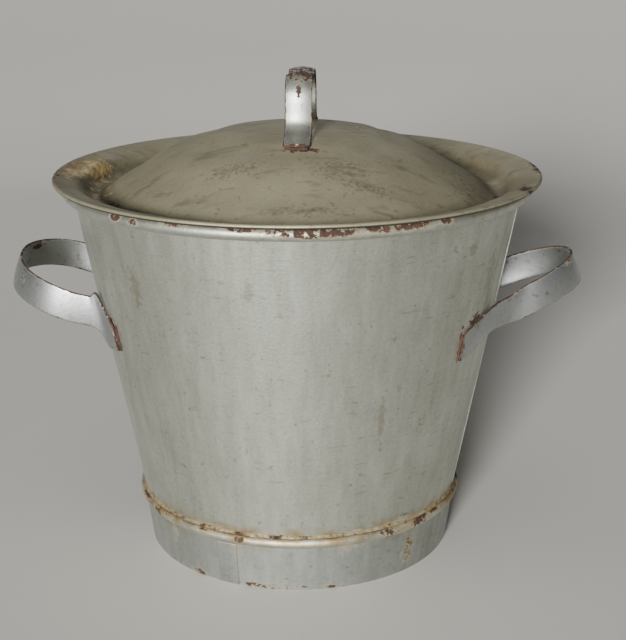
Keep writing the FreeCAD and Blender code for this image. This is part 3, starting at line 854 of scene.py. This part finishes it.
def wall_outline():
    centre = curl_centre()
    start = 180.0 - math.degrees(WALL_ANGLE)
    inner = arc(centre, CURL_INNER, start, CURL_END, 26)
    outer = arc(centre, CURL_OUTER, CURL_END, start, 30)
    low = (wall_radius(WALL_BOTTOM_Z), WALL_BOTTOM_Z)
    bead = (wall_radius(BEAD_TOP_Z + 3), BEAD_TOP_Z + 3)
    thick = SHEET / math.cos(WALL_ANGLE)
    up_outside = straight(low, bead, 4) + straight(bead, inner[0][:2], 46, give=1.0)
    down_inside = straight(outer[-1][:2], (bead[0] - thick, bead[1]), 46, give=1.0)
    down_inside += straight((bead[0] - thick, bead[1]), (low[0] - thick, low[1]), 4)
    return up_outside + inner + outer[:-1] + down_inside + [(low[0] - thick, low[1], 0.0)]


def strip(name, azimuth, width, low, high, rise, radius_at, material):
    """A low strip with eased edges on a round face, from height low to high."""
    sweep = math.degrees(width / radius_at((low + high) / 2))
    outline = [(radius_at(low) - 0.4, low, 0.0), (radius_at(low) + rise * 0.6, low, 0.0),
               (radius_at(low + 0.5) + rise, low + 0.5, 0.0), (radius_at(high - 0.5) + rise, high - 0.5, 0.0),
               (radius_at(high) + rise * 0.6, high, 0.0), (radius_at(high) - 0.4, high, 0.0)]
    piece = lathe(name, outline, material, segments=10, start=azimuth - sweep / 2, sweep=sweep)
    bevel = piece.modifiers.new("eased_edges", "BEVEL")
    bevel.width = 0.7 * MM
    bevel.segments = 4
    return apply_modifiers(piece)


def apply_modifiers(piece):
    """Turns a piece with modifiers into a plain mesh."""
    graph = bpy.context.evaluated_depsgraph_get()
    made = bpy.data.meshes.new_from_object(piece.evaluated_get(graph), depsgraph=graph)
    piece.modifiers.clear()
    piece.data = made
    return piece


def join(keep, extra):
    """Adds one piece's mesh to another's; both were made at the origin."""
    shape = bmesh.new()
    shape.from_mesh(keep.data)
    shape.from_mesh(extra.data)
    shape.to_mesh(keep.data)
    shape.free()
    bpy.data.objects.remove(extra)
    return keep


wall = lathe("wall", wall_outline(), WALL_FINISH, segments=320, out=0.35, size=75.0, seed=3.0)
seam = strip("seam", SEAM_AZIMUTH, SEAM_WIDTH, BEAD_TOP_Z + 2.0, WALL_TOP_Z - 1.0, SEAM_RISE,
             wall_radius, WALL_FINISH)
join(wall, seam)
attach(wall, "pot")
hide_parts("body_wall")
print("rim radius", round(curl_centre()[0] + CURL_OUTER, 2), "mm")

# %% [markdown]
# ## Foot hoop and bottom
# The hoop's outline is a tapered band with a half-round bead at its top. The outer end of the band laps
# over the inner one. The bottom is a shallow dish pressed from one disc: its flange turns down inside the
# wall round a small radius.

# %% Build the foot and the bottom
LAP_AZIMUTH = -116.0
LAP_WIDTH = 13.0
GAP = 0.05


def band_radius(z):
    """Radius of the hoop's band at height z."""
    return FOOT_RADIUS + (FOOT_BAND_RADIUS - FOOT_RADIUS) * z / FOOT_BAND_Z


def foot_outline():
    lip = (wall_radius(BEAD_TOP_Z) + GAP + SHEET, BEAD_TOP_Z)
    outside = arc_through((FOOT_BAND_RADIUS, FOOT_BAND_Z), (FOOT_BAND_RADIUS + BEAD_RISE, BEAD_Z), lip, 18)
    inside = [(radius - SHEET, z, 0.0) for radius, z, _ in reversed(outside)]
    return (straight((FOOT_RADIUS, 0.0), (FOOT_BAND_RADIUS, FOOT_BAND_Z), 12, give=1.0) + outside
            + inside[:-1] + straight(inside[-1][:2], (FOOT_RADIUS - SHEET, 0.0), 12, give=1.0)
            + [(FOOT_RADIUS - SHEET, 0.0, 0.0)])


def bottom_outline():
    def inside_wall(z):
        return wall_radius(z) - SHEET / math.cos(WALL_ANGLE) - GAP
    corner = 1.6
    top = BOTTOM_Z + SHEET
    edge = inside_wall(top - corner)
    turned = arc((edge - corner, top - corner), corner, 0.0, 90.0, 5)
    hollow = arc((edge - corner, top - corner), corner - SHEET, 90.0, 0.0, 5)
    return ([(inside_wall(FLANGE_Z) - SHEET, FLANGE_Z, 0.0), (inside_wall(FLANGE_Z), FLANGE_Z, 0.0)] + turned
            + straight((edge - corner - 1, top), (0.0, top), 24, give=1.0)
            + [(0.0, top, 0.0), (0.0, BOTTOM_Z, 0.0)]
            + straight((0.0, BOTTOM_Z), (edge - corner - 1, BOTTOM_Z), 24, give=1.0)[1:] + hollow)


foot = lathe("foot_hoop", foot_outline(), FOOT_FINISH, segments=256, out=0.15, size=50.0, seed=5.0)
lap = strip("lap", LAP_AZIMUTH, LAP_WIDTH, 0.4, FOOT_BAND_Z - 0.3, SHEET * 0.8, band_radius, FOOT_FINISH)
join(foot, lap)
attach(foot, "pot")
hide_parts("foot_ring")

bottom = lathe("bottom", bottom_outline(), WALL_FINISH, segments=128, up=0.3, size=60.0, seed=8.0)
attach(bottom, "pot")
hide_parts("bottom_disc")

# %% [markdown]
# ## Solder
# A run of solder fills the crevice over the bead and another the corner round the bottom inside. It was
# wiped on by hand, so the same lathe lets it wander over a few millimetres: a lumpy, uneven line.

# %% Build the solder runs


def solder_outline(radius, z, out, up):
    """A full fillet in the corner at (radius, z), a little into both neighbours; out is negative inside."""
    into = -0.25 if out > 0 else 0.25
    corner = (radius + into, z - 0.15, 0.0)
    low = (radius + out, z)
    high = (radius + up * WALL_SLOPE + into, z + up)
    middle = (radius + out * 0.42 + up * WALL_SLOPE * 0.5, z + up * 0.42)
    face = arc_through(low, middle, high, 6)
    gives = [math.sin(math.pi * i / 6) * 0.8 + 0.2 for i in range(len(face))]
    return [corner] + [(r, height, give) for (r, height, _), give in zip(face, gives)]


foot_solder_z = BEAD_TOP_Z + GAP
foot_solder_outline = solder_outline(wall_radius(foot_solder_z) + GAP, foot_solder_z, 1.25, 2.0)
foot_solder = lathe("foot_solder_run", foot_solder_outline, SOLDER_FINISH,
                    segments=720, out=0.4, up=0.25, size=4.5, seed=11.0)
inside_z = BOTTOM_Z + SHEET + GAP
inside_radius = wall_radius(inside_z) - SHEET / math.cos(WALL_ANGLE) - GAP
inner_solder = lathe("bottom_solder_run", solder_outline(inside_radius, inside_z, -3.0, 3.0),
                     SOLDER_FINISH, segments=480, out=0.4, up=0.2, size=7.0, seed=13.0)
for piece, node in ((foot_solder, "foot_solder"), (inner_solder, "bottom_solder")):
    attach(piece, "pot")
    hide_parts(node)

# %% [markdown]
# ## Lid
# The lid is one pressing, so its outline is one flowing curve: a flat cap with a low step, the flank of
# the dome, a well, and a brim that rises to a rolled hem. A natural spline through a dozen points of the
# upper face gives it, and the under face lies one sheet below, square to the curve.

# %% Build the lid
HEM_Z = LID_EDGE_Z - HEM_RADIUS
HEM_CENTRE = (LID_RADIUS - HEM_RADIUS, HEM_Z)


def lid_top_points():
    """Upper face from the axis to the hem, as (radius, height)."""
    drops = [(0, 0.0), (22, 0.5), (38, 1.5), (48, 2.9), (54, 4.9), (60, 7.1), (66, 8.5), (73, 10.6),
             (84, 16.2), (98, 25.3), (110, 32.4), (117.5, 37.6), (122.8, 40.0), (127.6, 38.4)]
    rise = (math.cos(BRIM_SLOPE), math.sin(BRIM_SLOPE))
    brim_end = (HEM_CENTRE[0] - rise[1] * HEM_RADIUS, HEM_CENTRE[1] + rise[0] * HEM_RADIUS)
    brim = [(brim_end[0] - rise[0] * back, brim_end[1] - rise[1] * back) for back in (14.5, 7.0, 0.0)]
    return [(radius, LID_TOP_Z - drop) for radius, drop in drops] + brim


def lid_outline():
    top, along, _, _ = natural_spline(lid_top_points(), 84)
    give = [min(1.0, (LID_RADIUS - radius) / 22.0) * (0.3 if radius < 50 else 1.0) for radius, _ in top]
    upper = [(max(radius, 0.0), z, g) for (radius, z), g in zip(top, give)]
    under = [(max(radius + dz * SHEET, 0.0), z - dr * SHEET, g)
             for (radius, z), (dr, dz), g in zip(top, along, give)]
    under[0] = (0.0, upper[0][1] - SHEET, under[0][2])
    hem = arc(HEM_CENTRE, HEM_RADIUS, 90.0 + math.degrees(BRIM_SLOPE), -130.0, 20)
    return upper[:-1] + hem + list(reversed(under))[1:]


lid = lathe("lid", lid_outline(), LID_FINISH, segments=320, up=0.55, size=42.0, seed=21.0)
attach(lid, "lid")
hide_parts("lid_shell")

# %% [markdown]
# ## Straps
# Each handle is a flat strap bent by hand. Its middle line is a smooth curve through the places where it
# was gripped, and its width follows a second direction that turns from upright to the slope of the wall,
# which gives the slanting bend at the foot. The section is slightly crowned, with edges eased by the
# dipping, and the ends have their corners clipped round.

# %% Strap builder
STRAP = 1.6
STRAP_SECTIONS = 190
EDGE_FROM = 0.72
CUT_FACE = 1.35
CUT_TIP = 1.3


def strap_ring(width_up, width_down, crown, thickness):
    """Section of the strap as (across, out, edge): millimetres along its width and out of its face."""
    half = thickness / 2
    ease = thickness * 0.42
    ring = []
    faces = ((1.0, np.linspace(-1, 1, 15)), (-1.0, np.linspace(1, -1, 15)))
    for level, shares in faces:
        for share in shares:
            reach = (width_up if share > 0 else width_down) - ease
            bulge = crown * (1 - share * share)
            near_edge = max(0.0, abs(share) - EDGE_FROM) / (1 - EDGE_FROM)
            ring.append((share * reach, level * half + bulge, near_edge))
        side = shares[-1]
        reach = width_up if side > 0 else width_down
        for turn in (30, 60, 90, 120, 150):
            t = math.radians(turn)
            ring.append((side * (reach - ease + ease * math.sin(t)), level * half * math.cos(t), CUT_FACE))
    return ring


def clipped(reach, end, corner):
    """Half width near the strap's end, with its corner rounded off by this radius."""
    if corner <= 0 or end >= corner:
        return reach
    return reach - corner + math.sqrt(max(corner * corner - (corner - end) ** 2, 0.0))


def strap_piece(name, path, directions, width, crown, corners, material, wave=0.2):
    """Strap along a path, each point with its own width direction; corners are the (upper, lower) clips."""
    points, tangents, at, stations = natural_spline(path, STRAP_SECTIONS)
    length = float(np.sum(np.linalg.norm(np.diff(points, axis=0), axis=1)))
    shape = bmesh.new()
    edge_layer = shape.verts.layers.float.new("edge")
    rings = []
    for i, (point, tangent) in enumerate(zip(points, tangents)):
        span = min(int(np.searchsorted(stations, at[i], side="right")) - 1, len(stations) - 2)
        share = (at[i] - stations[span]) / (stations[span + 1] - stations[span])
        share = share * share * (3 - 2 * share)
        across = Vector(directions[span]).lerp(Vector(directions[span + 1]), share)
        along = Vector(tangent)
        square = along.cross(across)
        stretch = 1 / square.length
        end = length * min(i, STRAP_SECTIONS - 1 - i) / (STRAP_SECTIONS - 1)
        bob = wave * math.sin(i * 0.13 + width) * math.sin(i * 0.051 + 1.0) * min(1.0, end / 20)
        upper = clipped(width / 2, end, corners[0])
        lower = clipped(width / 2, end, corners[1])
        ring = []
        for reach, out, edge in strap_ring(upper, lower, crown, STRAP):
            place = Vector(point) + across * (stretch * reach) + square * (stretch * (out + bob))
            vert = shape.verts.new(place * MM)
            vert[edge_layer] = max(edge, CUT_TIP - end / 2.5)
            ring.append(vert)
        rings.append(ring)
    for low, high in zip(rings, rings[1:]):
        for k in range(len(low)):
            shape.faces.new((low[k], low[k - 1], high[k - 1], high[k]))
    mesh = bpy.data.meshes.new(name)
    shape.to_mesh(mesh)
    shape.free()
    mesh.materials.append(material)
    finish_mesh(mesh, math.radians(50))
    piece = bpy.data.objects.new(name, mesh)
    bpy.context.scene.collection.objects.link(piece)
    print(f"{name}: {length:.0f} mm of strap, {len(mesh.polygons)} faces")
    return piece


def mirrored(points):
    """A leg's points, and the same leg across the XZ plane, as one row from end to end."""
    return [Vector((p.x, -p.y, p.z)) for p in reversed(points[1:])] + points


def turned(points, degrees, shift=(0.0, 0.0, 0.0)):
    turn = Matrix.Rotation(math.radians(degrees), 3, "Z")
    return [turn @ point + Vector(shift) for point in points]


# %% Build the side handles
HANDLE_REACH = 175.5
SIDE_STRAP_WIDTH = 18.6
SIDE_CROWN = 0.5
LEFT = {
    "loop": [(HANDLE_REACH, 0), (172.3, 21.5), (163, 39), (147, 49.5), (131, 50.5), (121, 50.5)],
    "foot": [(25.0, 153.8, 2.1), (29.0, 149.8, 1.2)],
    "nose": 179.6, "tilt": math.radians(18.0), "lean": -0.025, "corners": (8.0, 3.0), "turn": 180.0,
}
RIGHT = {
    "loop": [(HANDLE_REACH, 0), (171.0, 16), (161.5, 26), (145, 34.5), (129, 39.5)],
    "foot": [(23.0, 156.0, 3.2), (31.0, 151.8, 0.95), (39.5, 146.6, 0.95)],
    "nose": 177.2, "tilt": math.radians(22.0), "lean": 0.0, "corners": (3.5, 2.0), "turn": 0.0,
}


def on_wall(azimuth, z, stand_off):
    radius = wall_radius(z) + stand_off / math.cos(WALL_ANGLE)
    return Vector((radius * math.cos(math.radians(azimuth)), radius * math.sin(math.radians(azimuth)), z))


def up_the_wall(azimuth):
    """Direction straight up the tapered wall's face."""
    turn = math.radians(azimuth)
    lean = math.sin(WALL_ANGLE)
    return Vector((lean * math.cos(turn), lean * math.sin(turn), math.cos(WALL_ANGLE)))


def side_handle(name, bend):
    fall = math.tan(bend["tilt"])
    leg = [Vector((u, v, bend["nose"] - (HANDLE_REACH - u) * fall)) for u, v in bend["loop"]]
    ways = [Vector((-math.sin(bend["tilt"]), 0, math.cos(bend["tilt"]))) for _ in leg]
    ways[-1] = up_the_wall(bend["foot"][0][0])
    for azimuth, z, stand_off in bend["foot"]:
        leg.append(on_wall(azimuth, z, stand_off))
        ways.append(up_the_wall(azimuth))
    path = [point + Vector((0, 0, bend["lean"] * point.y)) for point in mirrored(leg)]
    return strap_piece(name, turned(path, bend["turn"]), turned(mirrored(ways), bend["turn"]),
                       SIDE_STRAP_WIDTH, SIDE_CROWN, bend["corners"], SIDE_STRAP_FINISH)


for name, bend in (("left", LEFT), ("right", RIGHT)):
    handle = side_handle(name + "_strap", bend)
    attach(handle, "pot")
    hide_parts(name + "_handle")

# %% [markdown]
# The lid's handle is the same strap, narrower and more strongly crowned. It sags a little between its two
# shoulders, and it was fixed a few degrees out of square.

# %% Build the lid handle
LID_STRAP_WIDTH = 16.3
LID_CROWN = 1.3
LID_LEG = [(0, 294.6), (17, 297.2), (25.8, 291), (28.4, 280), (30.5, 270), (36.5, 265.2), (45, 263.2),
           (53, 261.2)]
LID_HANDLE_TURN = -3.4
LID_HANDLE_SHIFT = (2.6, 0.0, 0.0)
lid_leg = [Vector((0, -reach, z)) for reach, z in LID_LEG]
lid_path = turned(mirrored(lid_leg), LID_HANDLE_TURN, LID_HANDLE_SHIFT)
lid_ways = turned([Vector((1, 0, 0))] * len(lid_path), LID_HANDLE_TURN)
lid_strap = strap_piece("lid_strap", lid_path, lid_ways, LID_STRAP_WIDTH, LID_CROWN, (3.0, 3.0),
                        LID_STRAP_FINISH, wave=0.1)
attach(lid_strap, "lid")
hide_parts("lid_handle")

# %% [markdown]
# ## Weld beads
# A bead of weld runs along each cut end. It is laid in small overlapping pools, so a second tree sweeps a
# circle along each run and swells it in even ripples with some chance in them, down to nothing at the
# ends. The line itself wanders a little as well.

# %% Weld tree


def build_weld():
    tree, given, result = new_tree("weld_run", [
        ("Runs", "NodeSocketGeometry"), ("Radius", "NodeSocketFloat"), ("Pool", "NodeSocketFloat"),
        ("Seed", "NodeSocketFloat"), ("Material", "NodeSocketMaterial")])
    curve = add(tree, "GeometryNodeMeshToCurve", {0: given.outputs["Runs"]})
    fine = add(tree, "GeometryNodeResampleCurve", {"Curve": curve, "Length": 0.35 * MM}, mode="LENGTH")
    where = add(tree, "GeometryNodeInputPosition").outputs[0]
    chance = add(tree, "ShaderNodeTexNoise", {"Vector": where, "W": given.outputs["Seed"], "Scale": 260.0,
                                              "Detail": 2.0}, noise_dimensions="4D")
    spread = add(tree, "ShaderNodeVectorMath", {0: chance.outputs["Color"], 1: (0.5, 0.5, 0.5)},
                 operation="SUBTRACT")
    jog = add(tree, "ShaderNodeVectorMath", {0: spread, "Scale": 0.9 * MM}, operation="SCALE")
    moved = add(tree, "GeometryNodeSetPosition", {0: fine, "Offset": jog})
    spline = add(tree, "GeometryNodeSplineParameter")
    pools = add(tree, "ShaderNodeMath", {0: spline.outputs["Length"], 1: given.outputs["Pool"]},
                operation="DIVIDE")
    half_turns = add(tree, "ShaderNodeMath", {0: pools, 1: math.pi}, operation="MULTIPLY")
    wave = add(tree, "ShaderNodeMath", {0: half_turns}, operation="SINE")
    ripple = add(tree, "ShaderNodeMath", {0: wave}, operation="ABSOLUTE")
    uneven = add(tree, "ShaderNodeMath", {0: chance, 1: 0.3, 2: 0.62}, operation="MULTIPLY_ADD")
    swell = add(tree, "ShaderNodeMath", {0: ripple, 1: 0.28, 2: uneven}, operation="MULTIPLY_ADD")
    from_middle = add(tree, "ShaderNodeMapRange", {"Value": spline.outputs["Factor"], "To Min": -1.0})
    far = add(tree, "ShaderNodeMath", {0: from_middle, 1: 8.0}, operation="POWER")
    left = add(tree, "ShaderNodeMath", {0: 1.02, 1: far}, operation="SUBTRACT")
    ends = add(tree, "ShaderNodeMath", {0: left}, operation="SQRT")
    radius = joined(tree, [swell, ends, given.outputs["Radius"]], "MULTIPLY")
    sized = add(tree, "GeometryNodeSetCurveRadius", {0: moved, "Radius": radius})
    ring = add(tree, "GeometryNodeCurvePrimitiveCircle", {"Resolution": 14, "Radius": 1.0})
    tube = add(tree, "GeometryNodeCurveToMesh", {"Curve": sized, "Profile Curve": ring,
                                                 "Scale": add(tree, "GeometryNodeInputRadius"),
                                                 "Fill Caps": True})
    real = add(tree, "GeometryNodeRealizeInstances", {0: tube})
    dressed = add(tree, "GeometryNodeSetMaterial", {0: real, "Material": given.outputs["Material"]})
    plug(tree, dressed, result.inputs[0])
    return tree


WELD = build_weld()
WELD_RADIUS = 0.95
POOL = 2.1


def weld_piece(name, runs, body, node, seed):
    """Weld beads along straight runs, each a pair of points in millimetres."""
    mesh = bpy.data.meshes.new(name)
    points = [tuple(point * MM) for run in runs for point in run]
    mesh.from_pydata(points, [(i, i + 1) for i in range(0, len(points), 2)], [])
    piece = run_tree(name, mesh, WELD, {"Radius": WELD_RADIUS * MM, "Pool": POOL * MM, "Seed": seed,
                                        "Material": WELD_FINISH})
    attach(piece, body)
    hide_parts(node)
    print(f"{name}: {len(piece.data.polygons)} faces")


def foot_runs(bend):
    azimuth, z, _ = bend["foot"][-1]
    reach = SIDE_STRAP_WIDTH * 0.45
    runs = []
    for side in (-1, 1):
        middle = z + side * bend["lean"] * wall_radius(z) * math.sin(math.radians(azimuth))
        ends = [on_wall(side * (azimuth + 0.25), middle + rise, 0.4) for rise in (-reach, reach)]
        runs.append(turned(ends, bend["turn"]))
    return runs


weld_piece("left_strap_welds", foot_runs(LEFT), "pot", "left_handle_welds", 2.0)
weld_piece("right_strap_welds", foot_runs(RIGHT), "pot", "right_handle_welds", 4.0)
lid_foot_reach, lid_foot_z = LID_LEG[-1]
half_run = LID_STRAP_WIDTH * 0.42
lid_runs = []
for side in (-1, 1):
    y = side * (lid_foot_reach + 0.5)
    ends = [Vector((x, y, lid_foot_z - STRAP / 2)) for x in (-half_run, half_run)]
    lid_runs.append(turned(ends, LID_HANDLE_TURN, LID_HANDLE_SHIFT))
weld_piece("lid_strap_welds", lid_runs, "lid", "lid_handle_welds", 6.0)

# %% [markdown]
# ## Rim wire
# The wire shows only in the open slot under the curl. The frame's own ring has the right shape there, so
# it stays and only gets its finish.

# %% Finish the wire
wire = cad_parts["rim_wire"]
wire.data.materials.clear()
wire.data.materials.append(WIRE_FINISH)
print("wire finish set")
